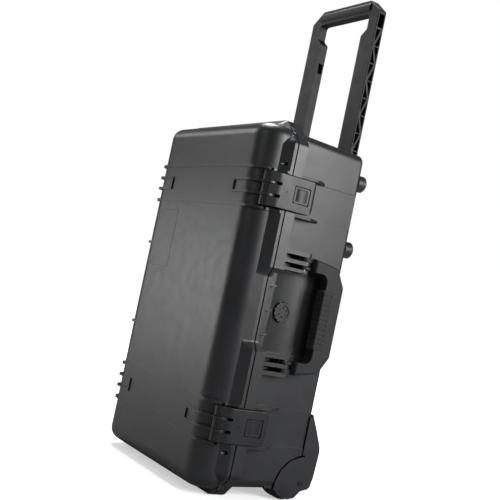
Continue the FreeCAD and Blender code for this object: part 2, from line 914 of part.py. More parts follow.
# --- latches ------------------------------------------------------------------------------------


def latch(name, z):
    """A latch that turns on the lid's lugs, with its button, return spring and pin."""
    pivot_y = before(d.latch_pivot_rise)
    inner = d.latch_face - 9
    half = d.latch_half_height
    low, high = span(z, half)
    outline = [
        (d.latch_pivot_x - 2, pivot_y - d.latch_knuckle + 0.05),
        (d.latch_pivot_x + 7, pivot_y - d.latch_knuckle + 0.05, 9),
        (d.latch_face, before(d.latch_bend), 16),
        (d.latch_face, behind(d.latch_end), 7),
        (inner, behind(d.latch_end), 1.5),
        (inner, before(d.latch_bend - 2.5), 3),
        (d.latch_pivot_x, before(d.latch_bend - 0.5)),
    ]
    plate = prism("latch plate", "z", outline, low, high, low_round=1.2, high_round=1.2)
    bow = prism(
        "latch end",
        "x",
        [
            (before(60), z - half - 1),
            (behind(d.latch_end - 5), z - half, 9),
            (behind(d.latch_end), z - half * 0.45, 22),
            (behind(d.latch_end), z + half * 0.45, 22),
            (behind(d.latch_end - 5), z + half, 9),
            (before(60), z + half + 1),
        ],
        as_size(140),
        as_size(180),
    )
    knuckle = rod("latch knuckle", "z", (d.latch_pivot_x, pivot_y), d.latch_knuckle, low, high)
    body = fuse("latch solid", common("latch plate bowed", plate, bow), knuckle)

    skin = d.latch_face - 3.5
    hollow_y = (before(d.latch_bend - 9), behind(d.latch_end - 3))
    removed = [box("latch hollow", (inner - 2, skin), hollow_y, span(z, half - 3.5))]
    hole_y = (behind(4.8), behind(33.2))
    removed.append(box("button hole", (skin - 1, d.latch_face + 2), hole_y, span(z, 12.7)))
    slot_x = (d.latch_pivot_x - 13, d.latch_face + 1)
    slot_y = (before(60), before(d.latch_pivot_rise) + d.latch_knuckle + 2.7)
    for way in (-1, 1):
        removed.append(box("lug slot", slot_x, slot_y, span(z + 9 * way, 2.2)))
    running = d.pin_radius + d.running_gap
    removed.append(rod("latch bore", "z", (d.latch_pivot_x, pivot_y), running, z - 30, z + 30))
    dimple = rod("dimple", "x", (before(8), z), 1.5, d.latch_face - 0.6, d.latch_face + 1)
    removed.append(dimple)
    body = cut("latch cut", body, *removed)

    hook_y = (behind(21), behind(25))
    hooks = [box("hook", (164, skin + 0.5), hook_y, span(z + 18 * way, 2.5)) for way in (-1, 1)]
    seat = box("spring seat", (163.8, 164.8), (behind(13), behind(25)), span(z, half - 3))
    keep(f"latch_{name}", fuse(f"latch_{name}", body, seat, *hooks))

    cap = prism(
        "button cap",
        "x",
        [
            (behind(6), z - 11.5, 2),
            (behind(32), z - 11.5, 2),
            (behind(32), z + 11.5, 2),
            (behind(6), z + 11.5, 2),
        ],
        as_size(168),
        d.latch_face - 0.3,
    )
    scoop = rod("button scoop", "z", (d.latch_face + 26, behind(19)), 28, z - 9, z + 9)
    flange = box("button flange", (167.4, 169.4), (behind(3.5), behind(34.5)), span(z, 14))
    button = fuse(f"latch_button_{name}", cut("button scooped", cap, scoop), flange)
    keep(f"latch_button_{name}", button)

    wire = 0.4
    foot = 164.85
    tip = 167.35
    profile = [
        (foot, 4.6),
        (foot + wire, 4.6),
        (tip, 2.6),
        (tip, 2.2),
        (tip - wire, 2.2),
        (foot, 4.2),
    ]
    keep(f"latch_spring_{name}", turned(f"latch_spring_{name}", "x", (behind(19), z), profile))


def latch_pins():
    centre = (d.latch_pivot_x, before(d.latch_pivot_rise))
    pins = [rod("latch pin", "z", centre, d.pin_radius, z - 24, z + 24) for z in BANDS.values()]
    keep("latch_pins", group("latch_pins", pins))


# --- carry handle -------------------------------------------------------------------------------


def carry_handle():
    """The folding side handle, its ribbed rubber grip and its two pins."""
    outer_half = d.handle_half_length
    inner_half = d.handle_half_length - d.handle_leg
    start = d.handle_pivot_depth + d.lug_radius + 0.6
    inner_x = d.handle_face - d.handle_thickness
    outside = prism(
        "handle outside",
        "x",
        [
            (behind(start), d.middle_z - outer_half),
            (behind(107.6), d.middle_z - outer_half + 6, 10),
            (behind(d.grip_outer), d.middle_z - outer_half + 33, 10),
            (behind(d.grip_outer), d.middle_z + outer_half - 33, 10),
            (behind(107.6), d.middle_z + outer_half - 6, 10),
            (behind(start), d.middle_z + outer_half),
        ],
        inner_x,
        d.handle_face,
        low_round=3,
        high_round=4,
    )
    inside = prism(
        "handle inside",
        "x",
        [
            (behind(start - 10), d.middle_z - inner_half),
            (behind(d.grip_inner), d.middle_z - inner_half, 12),
            (behind(d.grip_inner), d.middle_z + inner_half, 12),
            (behind(start - 10), d.middle_z + inner_half),
        ],
        inner_x - 5,
        d.handle_face + 5,
    )
    tongues = []
    for way in (-1, 1):
        for near, far in ((67.9, 72.1), (78.9, 85.1)):
            low, high = sorted((way * near, way * far))
            centre = (d.handle_pivot_x, behind(d.handle_pivot_depth))
            limits = (d.middle_z + low, d.middle_z + high)
            tongues.append(rod("tongue", "z", centre, d.lug_radius, *limits))
            arm = (inner_x + 0.5, d.handle_pivot_x + d.lug_radius)
            reach = (behind(d.handle_pivot_depth), behind(start + 3))
            tongues.append(box("tongue arm", arm, reach, limits))
    frame = fuse("handle frame", cut("handle loop", outside, inside), *tongues)

    grip_half = 43.5
    sleeve = prism(
        "grip sleeve",
        "x",
        [
            (behind(d.grip_inner - 3), d.middle_z - grip_half, 2),
            (behind(105), d.middle_z - grip_half),
            (behind(105), d.middle_z + grip_half),
            (behind(d.grip_inner - 3), d.middle_z + grip_half, 2),
        ],
        inner_x - 1.4,
        d.handle_face + 1.4,
        low_round=2,
        high_round=2,
    )
    core = box(
        "grip core",
        (inner_x + 2.4, d.handle_face - 2.4),
        (behind(d.grip_inner + 2), behind(110)),
        span(d.middle_z, grip_half + 5),
    )
    skin = cut("grip skin", sleeve, core)
    grooves = []
    pitch = 7.2
    for number in range(-5, 6):
        level = span(d.middle_z + number * pitch, 1.4)
        outer_x = (inner_x - 4, d.handle_face + 4)
        core_x = (inner_x - 0.4, d.handle_face + 0.4)
        around = box("grip groove", outer_x, (behind(86), behind(104)), level)
        within = box("grip groove core", core_x, (behind(89), behind(110)), level)
        grooves.append(cut("grip groove ring", around, within))
    keep("handle_grip", cut("handle_grip", skin, *grooves))
    bores = handle_pin_bores(d.pin_radius + d.running_gap)
    keep("carry_handle", cut("carry_handle", frame, skin, *bores))

    centre = (d.handle_pivot_x, behind(d.handle_pivot_depth))
    pins = [
        rod("handle pin", "z", centre, d.pin_radius, d.middle_z + low, d.middle_z + high)
        for low, high in ((-91.5, -61.5), (61.5, 91.5))
    ]
    keep("handle_pins", group("handle_pins", pins))


# --- pressure valve -----------------------------------------------------------------------------


def pressure_valve():
    """A round vent in the handle recess: threaded body, seal, membrane, cap and inner nut."""
    centre = (behind(41), d.middle_z)
    wall_x = 147
    seal = cut(
        "valve_seal",
        rod("seal disc", "x", centre, 12.5, wall_x, wall_x + 1.4),
        rod("seal hole", "x", centre, 9, wall_x - 1, wall_x + 3),
    )
    keep("valve_seal", seal)
    body = cut(
        "valve_body",
        fuse(
            "valve body solid",
            rod("valve shank", "x", centre, 9, 136, wall_x + 1.4),
            rod("valve flange", "x", centre, 14, wall_x + 1.4, wall_x + 3),
        ),
        rod("valve bore", "x", centre, 5, 130, wall_x + 5),
    )
    keep("valve_body", body)
    keep("valve_membrane", rod("valve_membrane", "x", centre, 5, wall_x + 1, wall_x + 1.8))

    disc = scalloped_cap(centre, wall_x + 3, wall_x + 7)
    keep("valve_cap", disc)
    points = []
    for corner in range(6):
        angle = math.radians(60 * corner)
        points.append((centre[0] + 13 * math.cos(angle), centre[1] + 13 * math.sin(angle)))
    hexagon = prism("nut outside", "x", points, as_size(137), as_size(141))
    nut_hole = rod("nut hole", "x", centre, 9, 130, 145)
    keep("valve_nut", cut("valve_nut", hexagon, nut_hole))


def scalloped_cap(centre, low, high):
    """The valve's cap: a disc with a scalloped rim and a sunken middle."""
    disc = rod("cap disc", "x", centre, 15, low, high)
    notches = []
    count = 14
    for number in range(count):
        angle = 2 * math.pi * number / count
        spot = (centre[0] + 15.3 * math.cos(angle), centre[1] + 15.3 * math.sin(angle))
        notches.append(rod("cap notch", "x", spot, 1.7, low - 1, high + 1))
    dish = rod("cap dish", "x", centre, 10.5, high - 1.2, high + 1)
    vents = []
    for number in range(6):
        angle = 2 * math.pi * (number + 0.5) / 6
        spot = (centre[0] + 6.5 * math.cos(angle), centre[1] + 6.5 * math.sin(angle))
        vents.append(rod("cap vent", "x", spot, 1.4, high - 2.6, high + 1))
    return cut("valve_cap", disc, *notches, dish, *vents)


# --- trolley handle -----------------------------------------------------------------------------


def leg_pockets(sign):
    """The open truss on a leg's outer side: pockets split by alternating diagonals."""
    front = behind(d.leg_front + d.leg_wall)
    back = behind(d.leg_front + d.leg_depth - d.leg_wall)
    low, high = sides(sign, d.leg_outer - d.leg_width + 3, d.leg_outer + 1)
    half_wall = 1
    slant = 1.3
    pockets = []
    for number in range(13):
        top = 751 - number * d.leg_pitch - half_wall
        foot = 751 - (number + 1) * d.leg_pitch + half_wall
        near, far = (front, back) if number % 2 else (back, front)
        lean = slant if number % 2 else -slant
        # The diagonal runs from the near top corner to the far foot corner.
        pockets.append([(far, top), (near + lean * 2, top), (far, foot + slant * 3)])
        pockets.append([(near, foot), (far - lean * 2, foot), (near, top - slant * 3)])
    return [prism("leg pocket", "x", points, low, high) for points in pockets]


def catch_depth(gap):
    """Limits along Y of the windows in the legs, drawn in by a gap for what goes in them."""
    front = d.leg_front + 4 + gap
    return (behind(front), behind(d.leg_front + d.leg_depth - 2.5 - gap))


def trolley_handle():
    """The pull handle: two trussed legs and a round bar, moulded in one piece."""
    top = d.trolley_top
    foot = d.trolley_top - d.leg_length
    front = behind(d.leg_front)
    back = behind(d.leg_front + d.leg_depth)
    inner = d.leg_outer - d.leg_width
    outside = prism(
        "trolley outside",
        "y",
        [
            (-d.leg_outer, foot),
            (d.leg_outer, foot),
            (d.leg_outer, top - 20, 5),
            (64, top, 5),
            (-64, top, 5),
            (-d.leg_outer, top - 20, 5),
        ],
        front,
        back,
        low_round=1,
        high_round=1,
    )
    gap = prism(
        "trolley gap",
        "y",
        [
            (-inner, foot - 5),
            (inner, foot - 5),
            (inner, 742, 4),
            (67, 752, 4),
            (67, top - 23.5, 6),
            (-67, top - 23.5, 6),
            (-67, 752, 4),
            (-inner, 742, 4),
        ],
        front - 5,
        back + 5,
    )
    body = cut("trolley frame", outside, gap)

    removed = []
    for sign in SIDES.values():
        removed += leg_pockets(sign)
        low, high = sides(sign, 70, d.leg_outer + 2)
        pocket_y = (behind(d.leg_front + d.leg_wall), behind(d.leg_front + d.leg_depth - d.leg_wall))
        removed.append(box("corner pocket", (low, high), pocket_y, (753.5, 776)))
        for z in (d.catch_z + d.trolley_travel, d.catch_z):
            window_x = sides(sign, inner - 1, inner + 8)
            removed.append(box("catch window", window_x, catch_depth(0), span(z, 9)))
    body = cut("trolley trussed", body, *removed)

    bar_y = behind(d.leg_front + d.leg_depth * 0.5)
    bar = rod("trolley bar", "x", (bar_y, top - 12), d.leg_depth * 0.5 + 3, -66, 66)
    bar = common(
        "trolley bar trimmed",
        bar,
        box("bar limits", (-66, 66), (behind(140), behind(d.housing_back)), (top - 24, top)),
    )
    keep("trolley_handle", fuse("trolley_handle", body, bar))


def trolley_housing():
    """The cover on the base's bottom that the legs slide in, with its screws and leg catches."""
    inner = d.leg_outer - d.leg_width - 0.4
    valley = inner - 2.9
    floor = behind(d.leg_front - 0.8)
    back = behind(d.housing_back)
    seat = behind(d.base_depth)
    outside = prism(
        "housing outside",
        "z",
        [
            (-d.housing_half_width, seat),
            (-d.housing_half_width, back, 4),
            (-valley, back, 3),
            (-valley, floor),
            (valley, floor),
            (valley, back, 3),
            (d.housing_half_width, back, 4),
            (d.housing_half_width, seat),
        ],
        d.housing_bottom,
        d.housing_top,
    )
    removed = []
    room = d.leg_outer + 0.4
    top = d.housing_top + 5
    for sign in SIDES.values():
        low, high = sides(sign, inner, room)
        y = (behind(d.leg_front - 0.4), behind(d.leg_front + d.leg_depth + 0.4))
        removed.append(box("leg channel", (low, high), y, (d.housing_bottom + 2.5, top)))
        for z in range(160, 520, 40):
            wide = sides(sign, inner + 6, room - 6)
            slot = box("back slot", wide, (behind(165), behind(180)), span(as_size(z), 12))
            removed.append(slot)
        mouth = sides(sign, valley - 1, inner + 1)
        removed.append(box("catch hole", mouth, catch_depth(0), span(d.catch_z, 9)))
    levels = (d.housing_bottom + 2.5, d.housing_top - 2.5)
    hollow = box("housing hollow", (-room, room), (behind(130), behind(150)), levels)
    bosses = []
    for spot in HOUSING_SCREWS:
        bosses.append(rod("screw boss", "y", spot, 5.5, behind(129), behind(151)))
        removed.append(rod("screw hole", "y", spot, d.screw_radius, behind(129), behind(160)))
    removed.append(cut("housing hollow with bosses", hollow, *bosses))
    keep("trolley_housing", cut("trolley_housing", outside, *removed))

    screws = []
    for x, z in HOUSING_SCREWS:
        shank = rod("screw shank", "y", (x, z), d.screw_radius, behind(133), behind(153))
        head = rod("screw head", "y", (x, z), 4, floor, floor + 2.4)
        drive = rod("screw socket", "y", (x, z), 1.6, floor + 1, floor + 4)
        screws.append(cut("housing screw", fuse("screw", shank, head), drive))
    keep("housing_screws", group("housing_screws", screws))

    for side, sign in SIDES.items():
        depth = catch_depth(0.2)
        level = d.catch_z
        nose = sides(sign, valley - 6, inner)
        block = box("catch nose", nose, depth, span(level, 8.8))
        leaf_x = sides(sign, valley - 6, valley - 4)
        leaf = box("catch leaf", leaf_x, depth, (level - 30, level + 8.8))
        post_x = sides(sign, valley - 6, valley)
        post = box("catch post", post_x, depth, (level - 35, level - 25))
        keep(f"trolley_catch_{side}", fuse(f"trolley_catch_{side}", block, leaf, post))


# --- wheels and feet ----------------------------------------------------------------------------


def wheel_pod(side, sign):
    """The moulded bracket that carries a wheel and closes the base's lower corner."""
    inner = d.wheel_x - d.wheel_width * 0.5 - 7
    arch = (behind(d.arch_depth), d.arch_z)
    seat = d.base_depth + 0.2
    low, high = sides(sign, inner, d.pod_outer)
    outside = prism(
        f"pod outside {side}",
        "x",
        [
            (behind(seat), 133),
            (behind(148.5), 112, 30),
            (behind(163), 82, 30),
            (behind(160.5), 39, 14),
            (behind(156.5), 21, 8),
            (behind(141), 17, 8),
            (behind(131), 6, 10),
            (behind(118), 3.5, 14),
            (behind(104), 7.5, 10),
            (behind(91), 17.5),
            (behind(92), 30),
            (behind(99), 47),
            (behind(113), 61),
            (behind(seat), 69),
        ],
        low,
        high,
    )
    trimmed = cut(
        "pod trimmed",
        outside,
        cut(
            "beyond arch",
            box("arch limits", (low - 1, high + 1), (behind(60), behind(seat)), (-5, 80)),
            rod("arch disc", "x", arch, d.arch_radius, low - 2, high + 2),
            box("below arch", (low - 3, high + 3), (behind(90), behind(200)), (-10, 20)),
        ),
    )
    room_low, room_high = sides(sign, inner + 3.5, d.pod_outer - 5)
    wheel = (behind(d.wheel_depth), d.wheel_radius)
    room = prism(
        "pod room",
        "x",
        [
            (behind(seat), 125),
            (behind(159), 82, 26),
            (behind(156.5), 40),
            (behind(153), 24),
            (behind(153), -8),
            (behind(60), -8),
            (behind(60), 125),
        ],
        room_low,
        room_high,
    )
    added = [rod("pod boss", "y", (sign * d.wheel_x, d.pod_boss_z), 5, behind(seat), behind(152))]
    for start, end in ((inner + 3.4, inner + 5.2), (d.pod_outer - 6.2, d.pod_outer - 4.9)):
        added.append(rod("axle boss", "x", wheel, 8, *sides(sign, start, end)))
    shell = fuse("pod shell", cut("pod hollow", trimmed, room), *added)
    lip_x = sides(sign, d.pod_outer - 1.6, d.pod_outer)
    lip = box("pod lip", lip_x, (behind(d.base_depth - 4.5), behind(seat + 1)), (71, 130))
    shell = fuse("pod with lip", shell, lip)
    plate_hole = sides(sign, d.pod_outer - 3.5, d.pod_outer)
    bores = [
        rod("axle bore", "x", wheel, d.axle_radius, *sides(sign, inner - 1, d.pod_outer - 1.5)),
        rod("plate hole", "x", pod_screw_spot(), d.screw_radius, *plate_hole),
        rod(
            "boss hole",
            "y",
            (sign * d.wheel_x, d.pod_boss_z),
            d.screw_radius,
            behind(130),
            behind(148),
        ),
    ]
    keep(f"wheel_pod_{side}", cut(f"wheel_pod_{side}", shell, *bores))


def wheel(side, sign):
    """A rubber tyre on a moulded hub with two bearings, turning on a steel axle."""
    centre = (behind(d.wheel_depth), d.wheel_radius)
    half = d.wheel_width * 0.5
    mid = sign * d.wheel_x
    rim = 24.5
    tyre = turned(
        f"wheel_tyre_{side}",
        "x",
        centre,
        [
            (mid - half, rim),
            (mid + half, rim),
            (mid + half, d.wheel_radius - 4),
            (mid + half - 2, d.wheel_radius - 1.4),
            (mid + half - 6, d.wheel_radius),
            (mid - half + 6, d.wheel_radius),
            (mid - half + 2, d.wheel_radius - 1.4),
            (mid - half, d.wheel_radius - 4),
        ],
    )
    keep(f"wheel_tyre_{side}", tyre)
    web = 3
    hub = turned(
        f"hub blank {side}",
        "x",
        centre,
        [
            (mid - half, 11),
            (mid - half, 14),
            (mid - web, 14.5),
            (mid - web, 21),
            (mid - half + 1, 21.5),
            (mid - half + 1, rim),
            (mid + half - 1, rim),
            (mid + half - 1, 21.5),
            (mid + web, 21),
            (mid + web, 14.5),
            (mid + half, 14),
            (mid + half, 11),
            (mid + half - 7, 11),
            (mid + half - 7, 7),
            (mid - half + 7, 7),
            (mid - half + 7, 11),
        ],
    )
    holes = []
    for number in range(6):
        angle = 2 * math.pi * number / 6
        spot = (centre[0] + 17.8 * math.cos(angle), centre[1] + 17.8 * math.sin(angle))
        holes.append(rod("hub hole", "x", spot, 2.4, mid - half, mid + half))
    keep(f"wheel_hub_{side}", cut(f"wheel_hub_{side}", hub, *holes))

    races = []
    running = d.axle_radius + d.running_gap
    for way in (-1, 1):
        low, high = span(mid + way * (half - 3.5), 3.5)
        ring = rod("bearing ring", "x", centre, 11, low, high)
        races.append(cut("bearing", ring, rod("bearing bore", "x", centre, running, mid - 20, mid + 20)))
    keep(f"wheel_bearings_{side}", group(f"wheel_bearings_{side}", races))
    low, high = sides(sign, d.wheel_x - half - 7, d.pod_outer - 1.5)
    keep(f"wheel_axle_{side}", rod(f"wheel_axle_{side}", "x", centre, d.axle_radius, low, high))


def feet():
    screws = []
    for level, z in FEET.items():
        for side, sign in SIDES.items():
            x = sign * d.foot_x
            r = d.foot_radius
            foot = turned(
                f"foot {level} {side}",
                "y",
                (x, z),
                [
                    (behind(d.base_depth), 0),
                    (behind(d.base_depth), r - 1),
                    (behind(d.base_depth + 15), r - 2),
                    (behind(d.base_depth + 17), r),
                    (behind(d.foot_end - 2), r),
                    (behind(d.foot_end), r - 2),
                    (behind(d.foot_end), 0),
                ],
            )
            bore = rod("foot bore", "y", (x, z), d.screw_radius, behind(130), behind(180))
            sink = rod("foot sink", "y", (x, z), 5, behind(d.foot_end - 8), behind(180))
            keep(f"foot_{level}_{side}", cut(f"foot_{level}_{side}", foot, bore, sink))
            shank = rod("screw shank", "y", (x, z), d.screw_radius, behind(133), behind(d.foot_end - 7))
            floor = d.foot_end - 8
            head = rod("screw head", "y", (x, z), 4, behind(floor), behind(floor + 2.6))
            socket = rod("screw socket", "y", (x, z), 1.6, behind(floor + 1.5), behind(d.foot_end))
            screws.append(cut("foot screw", fuse("screw", shank, head), socket))
    keep("foot_screws", group("foot_screws", screws))


def pod_screw_spot():
    return (behind(138), 28.4)


def pod_screws():
    """For each pod, a screw in its outer plate and one from inside the case into its boss."""
    screws = []
    for sign in SIDES.values():
        spot = pod_screw_spot()
        face = d.pod_outer
        shank = rod("screw shank", "x", spot, d.screw_radius, *sides(sign, face - 3.5, face))
        head = rod("screw head", "x", spot, 4, *sides(sign, face, face + 1.2))
        drive = rod("screw socket", "x", spot, 1.6, *sides(sign, face + 0.4, face + 2))
        screws.append(cut("plate screw", fuse("screw", shank, head), drive))
        boss = (sign * d.wheel_x, d.pod_boss_z)
        inside = d.base_depth - d.wall
        shank = rod("screw shank", "y", boss, d.screw_radius, behind(inside), behind(147))
        head = rod("screw head", "y", boss, 4, behind(inside), behind(inside + 2.2))
        drive = rod("screw socket", "y", boss, 1.6, behind(inside - 1), behind(inside + 1.4))
        screws.append(cut("boss screw", fuse("screw", shank, head), drive))
    keep("pod_screws", group("pod_screws", screws))


# --- foam lining --------------------------------------------------------------------------------

# Each pocket: x limits, z limits and depth below the foam's face.
POCKETS = {
    "drone": ((-124, -8), (290, 512), 100),
    "controller": ((-124, -8), (48, 262), 62),
    "battery_1": ((12, 124), (464, 512), 86),
    "battery_2": ((12, 124), (396, 444), 86),
    "battery_3": ((12, 124), (328, 376), 86),
    "charger": ((12, 124), (222, 308), 70),
    "accessory": ((12, 124), (48, 202), 52),
}


def rounded(across, levels, radius):
    """A rectangle between limits along X and Z, with rounded corners."""
    left, right = across
    low, high = levels
    return [(left, low, radius), (right, low, radius), (right, high, radius), (left, high, radius)]


def foam():
    """Cut foam in the base, a flat pad under it, and the lid's foam."""
    across = span(as_size(0), d.foam_half_width)
    levels = (d.foam_bottom, d.foam_top)
    face = 2
    block = prism("foam block", "y", rounded(across, levels, 8), behind(face), behind(d.foam_depth))
    removed = []
    for name, (x, z, depth) in POCKETS.items():
        bottom = behind(face + depth)
        removed.append(prism(f"pocket {name}", "y", rounded(x, z, 8), behind(0), bottom))
    for sign in SIDES.values():
        relief_x = sides(sign, 97, 150)
        removed.append(box("wheel relief", relief_x, (behind(73), behind(140)), (10, 80)))
    valve = box("valve relief", (133, 145), (behind(20), behind(62)), span(d.middle_z, 22))
    keep("base_foam", cut("base_foam", block, valve, *removed))

    pad_y = (behind(d.foam_depth + 1), behind(131))
    pad = prism("pad block", "y", rounded(across, levels, 6), *pad_y, high_round=9)
    reliefs = []
    for sign in SIDES.values():
        relief_x = sides(sign, 97, 150)
        reliefs.append(box("pad relief", relief_x, (behind(73), behind(140)), (10, 80)))
    keep("base_pad", cut("base_pad", pad, *reliefs))

    across = span(as_size(0), d.lid_cavity_half_width - 13)
    levels = (as_size(34), d.case_length - 34)
    lid_y = (before(d.lid_depth - 5.1), before(4))
    keep("lid_foam", prism("lid_foam", "y", rounded(across, levels, 14), *lid_y, low_round=14))


# --- build, check and write ---------------------------------------------------------------------


def check_document():
    """Stops with a plain message if any object failed or any sub-part has no sound solid."""
    failed = [o.Name for o in doc.Objects if {"Invalid", "Error"} & set(o.State)]
    if failed:
        sys.exit("failed objects: " + ", ".join(failed))
    for name, part in NODES.items():
        shape = part.Shape
        if shape.isNull() or not shape.isValid() or not shape.Solids:
            sys.exit("unsound sub-part: " + name)


def write_parts():
    os.makedirs("parts", exist_ok=True)
    for name, part in NODES.items():
        part.Shape.exportStep(f"parts/{name}.step")
        print(f"{name}: {len(part.Shape.Solids)} solids, {part.Shape.Volume / 1000:.1f} cm3")


base_shell()
lid_shell()
hinge_pins()
for band_name, band_z in BANDS.items():
    latch(band_name, band_z)
latch_pins()
carry_handle()
pressure_valve()
trolley_handle()
trolley_housing()
for side_name, side_sign in SIDES.items():
    wheel_pod(side_name, side_sign)
    wheel(side_name, side_sign)
pod_screws()
feet()
foam()
doc.recompute()
check_document()
write_parts()
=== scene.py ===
import json
import math

import bmesh
import bpy
import numpy as np
from mathutils import Matrix, Vector


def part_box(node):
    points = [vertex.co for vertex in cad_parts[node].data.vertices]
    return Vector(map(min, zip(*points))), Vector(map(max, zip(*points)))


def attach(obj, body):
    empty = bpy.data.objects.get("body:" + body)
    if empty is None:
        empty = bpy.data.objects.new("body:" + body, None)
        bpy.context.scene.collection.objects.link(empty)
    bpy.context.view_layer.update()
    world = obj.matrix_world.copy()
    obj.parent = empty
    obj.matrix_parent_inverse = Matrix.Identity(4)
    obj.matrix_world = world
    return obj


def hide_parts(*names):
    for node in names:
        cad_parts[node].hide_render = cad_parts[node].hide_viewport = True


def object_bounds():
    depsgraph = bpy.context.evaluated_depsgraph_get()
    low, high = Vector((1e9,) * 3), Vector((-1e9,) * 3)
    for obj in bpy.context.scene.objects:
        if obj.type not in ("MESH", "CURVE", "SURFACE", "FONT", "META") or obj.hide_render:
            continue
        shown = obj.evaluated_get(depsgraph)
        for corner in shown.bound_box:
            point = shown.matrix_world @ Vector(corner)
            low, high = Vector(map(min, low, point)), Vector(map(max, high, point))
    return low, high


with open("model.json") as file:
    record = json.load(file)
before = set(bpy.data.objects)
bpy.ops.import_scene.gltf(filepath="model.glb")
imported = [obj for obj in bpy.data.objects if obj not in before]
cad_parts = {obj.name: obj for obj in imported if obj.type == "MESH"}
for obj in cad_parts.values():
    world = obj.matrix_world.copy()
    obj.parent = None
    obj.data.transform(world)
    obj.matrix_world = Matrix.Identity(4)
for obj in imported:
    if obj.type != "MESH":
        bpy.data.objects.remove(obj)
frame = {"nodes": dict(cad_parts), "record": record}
cad_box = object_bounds()
scene = bpy.context.scene

# --- camera, floor and light --------------------------------------------------------------------

LENS_MM = 63.21
SENSOR_MM = 36.0
EYE = Vector((1.20013, -0.75545, 0.30089))
LOOK = Vector((-0.844675, 0.533612, 0.042221))
UP = Vector((-0.074620, -0.195490, 0.977863))


def add_camera():
    data = bpy.data.cameras.new("camera")
    data.lens = LENS_MM
    data.sensor_width = SENSOR_MM
    data.clip_start, data.clip_end = 0.02, 60
    camera = bpy.data.objects.new("camera", data)
    back = -LOOK.normalized()
    right = UP.cross(back).normalized()
    up = back.cross(right)
    turn = Matrix((right, up, back)).transposed().to_4x4()
    camera.matrix_world = Matrix.Translation(EYE) @ turn
    scene.collection.objects.link(camera)
    scene.camera = camera


def add_area(name, place, target, width, height, watts):
    data = bpy.data.lights.new(name, "AREA")
    data.shape = "RECTANGLE"
    data.size, data.size_y = width, height
    data.energy = watts
    lamp = bpy.data.objects.new(name, data)
    away = Vector(place) - Vector(target)
    turn = away.to_track_quat("Z", "Y").to_matrix().to_4x4()
    lamp.matrix_world = Matrix.Translation(place) @ turn
    scene.collection.objects.link(lamp)


def add_world():
    """White where the camera sees it, and a dim cool grey for everything that it lights."""
    world = bpy.data.worlds.new("studio")
    scene.world = world
    world.use_nodes = True
    tree = world.node_tree
    tree.nodes.clear()
    out = tree.nodes.new("ShaderNodeOutputWorld")
    mix = tree.nodes.new("ShaderNodeMixShader")
    path = tree.nodes.new("ShaderNodeLightPath")
    dim = tree.nodes.new("ShaderNodeBackground")
    plain = tree.nodes.new("ShaderNodeBackground")
    dim.inputs["Color"].default_value = (0.80, 0.84, 0.90, 1)
    dim.inputs["Strength"].default_value = 0.10
    plain.inputs["Color"].default_value = (1, 1, 1, 1)
    plain.inputs["Strength"].default_value = 1.0
    tree.links.new(path.outputs["Is Camera Ray"], mix.inputs["Fac"])
    tree.links.new(dim.outputs[0], mix.inputs[1])
    tree.links.new(plain.outputs[0], mix.inputs[2])
    tree.links.new(mix.outputs[0], out.inputs["Surface"])


# --- materials ----------------------------------------------------------------------------------


class Paint:
    """A material built up from procedural nodes."""

    def __init__(self, name):
        self.material = bpy.data.materials.new(name)
        self.material.use_nodes = True
        self.tree = self.material.node_tree
        self.shader = self.tree.nodes["Principled BSDF"]
        self.where = self.add("ShaderNodeTexCoord").outputs["Object"]

    def add(self, kind, **values):
        node = self.tree.nodes.new(kind)
        for key, value in values.items():
            setattr(node, key, value)
        return node

    def feed(self, socket, value):
        if isinstance(value, bpy.types.NodeSocket):
            self.tree.links.new(value, socket)
        else:
            socket.default_value = value

    def noise(self, scale, detail=2.0, rough=0.5, stretch=None):
        node = self.add("ShaderNodeTexNoise")
        where = self.where
        if stretch:
            mapping = self.add("ShaderNodeMapping")
            mapping.inputs["Scale"].default_value = stretch
            self.feed(mapping.inputs["Vector"], where)
            where = mapping.outputs[0]
        self.feed(node.inputs["Vector"], where)
        node.inputs["Scale"].default_value = scale
        node.inputs["Detail"].default_value = detail
        node.inputs["Roughness"].default_value = rough
        return node.outputs["Fac"]

    def cells(self, scale):
        node = self.add("ShaderNodeTexVoronoi")
        self.feed(node.inputs["Vector"], self.where)
        node.inputs["Scale"].default_value = scale
        return node.outputs["Distance"]

    def spread(self, value, low, high, start=0.3, end=0.7):
        node = self.add("ShaderNodeMapRange")
        self.feed(node.inputs["Value"], value)
        sockets = ("From Min", "From Max", "To Min", "To Max")
        for socket, number in zip(sockets, (start, end, low, high)):
            node.inputs[socket].default_value = number
        return node.outputs[0]

    def maths(self, operation, a, b):
        node = self.add("ShaderNodeMath", operation=operation)
        self.feed(node.inputs[0], a)
        self.feed(node.inputs[1], b)
        return node.outputs[0]

    def mix(self, factor, a, b):
        node = self.add("ShaderNodeMix", data_type="RGBA")
        self.feed(node.inputs[0], factor)
        self.feed(node.inputs[6], a)
        self.feed(node.inputs[7], b)
        return node.outputs[2]

    def bump(self, height, depth, normal=None, strength=1.0):
        node = self.add("ShaderNodeBump")
        self.feed(node.inputs["Height"], height)
        node.inputs["Strength"].default_value = strength
        node.inputs["Distance"].default_value = depth
        if normal is not None:
            self.feed(node.inputs["Normal"], normal)
        return node.outputs[0]

    def rounded(self, radius):
        node = self.add("ShaderNodeBevel", samples=4)
        node.inputs["Radius"].default_value = radius
        return node.outputs[0]

    def edges(self, radius):
        """1 along sharp edges and 0 on flat faces."""
        soft = self.rounded(radius)
        geometry = self.add("ShaderNodeNewGeometry")
        dot = self.add("ShaderNodeVectorMath", operation="DOT_PRODUCT")
        self.feed(dot.inputs[0], soft)
        self.feed(dot.inputs[1], geometry.outputs["Normal"])
        return self.spread(dot.outputs["Value"], 1, 0, 0.9, 0.995)

    def finish(self, **inputs):
        for name, value in inputs.items():
            self.feed(self.shader.inputs[name.replace("_", " ")], value)
        return self.material


def shade(colour, factor):
    return (*(min(1, c * factor) for c in colour), 1)


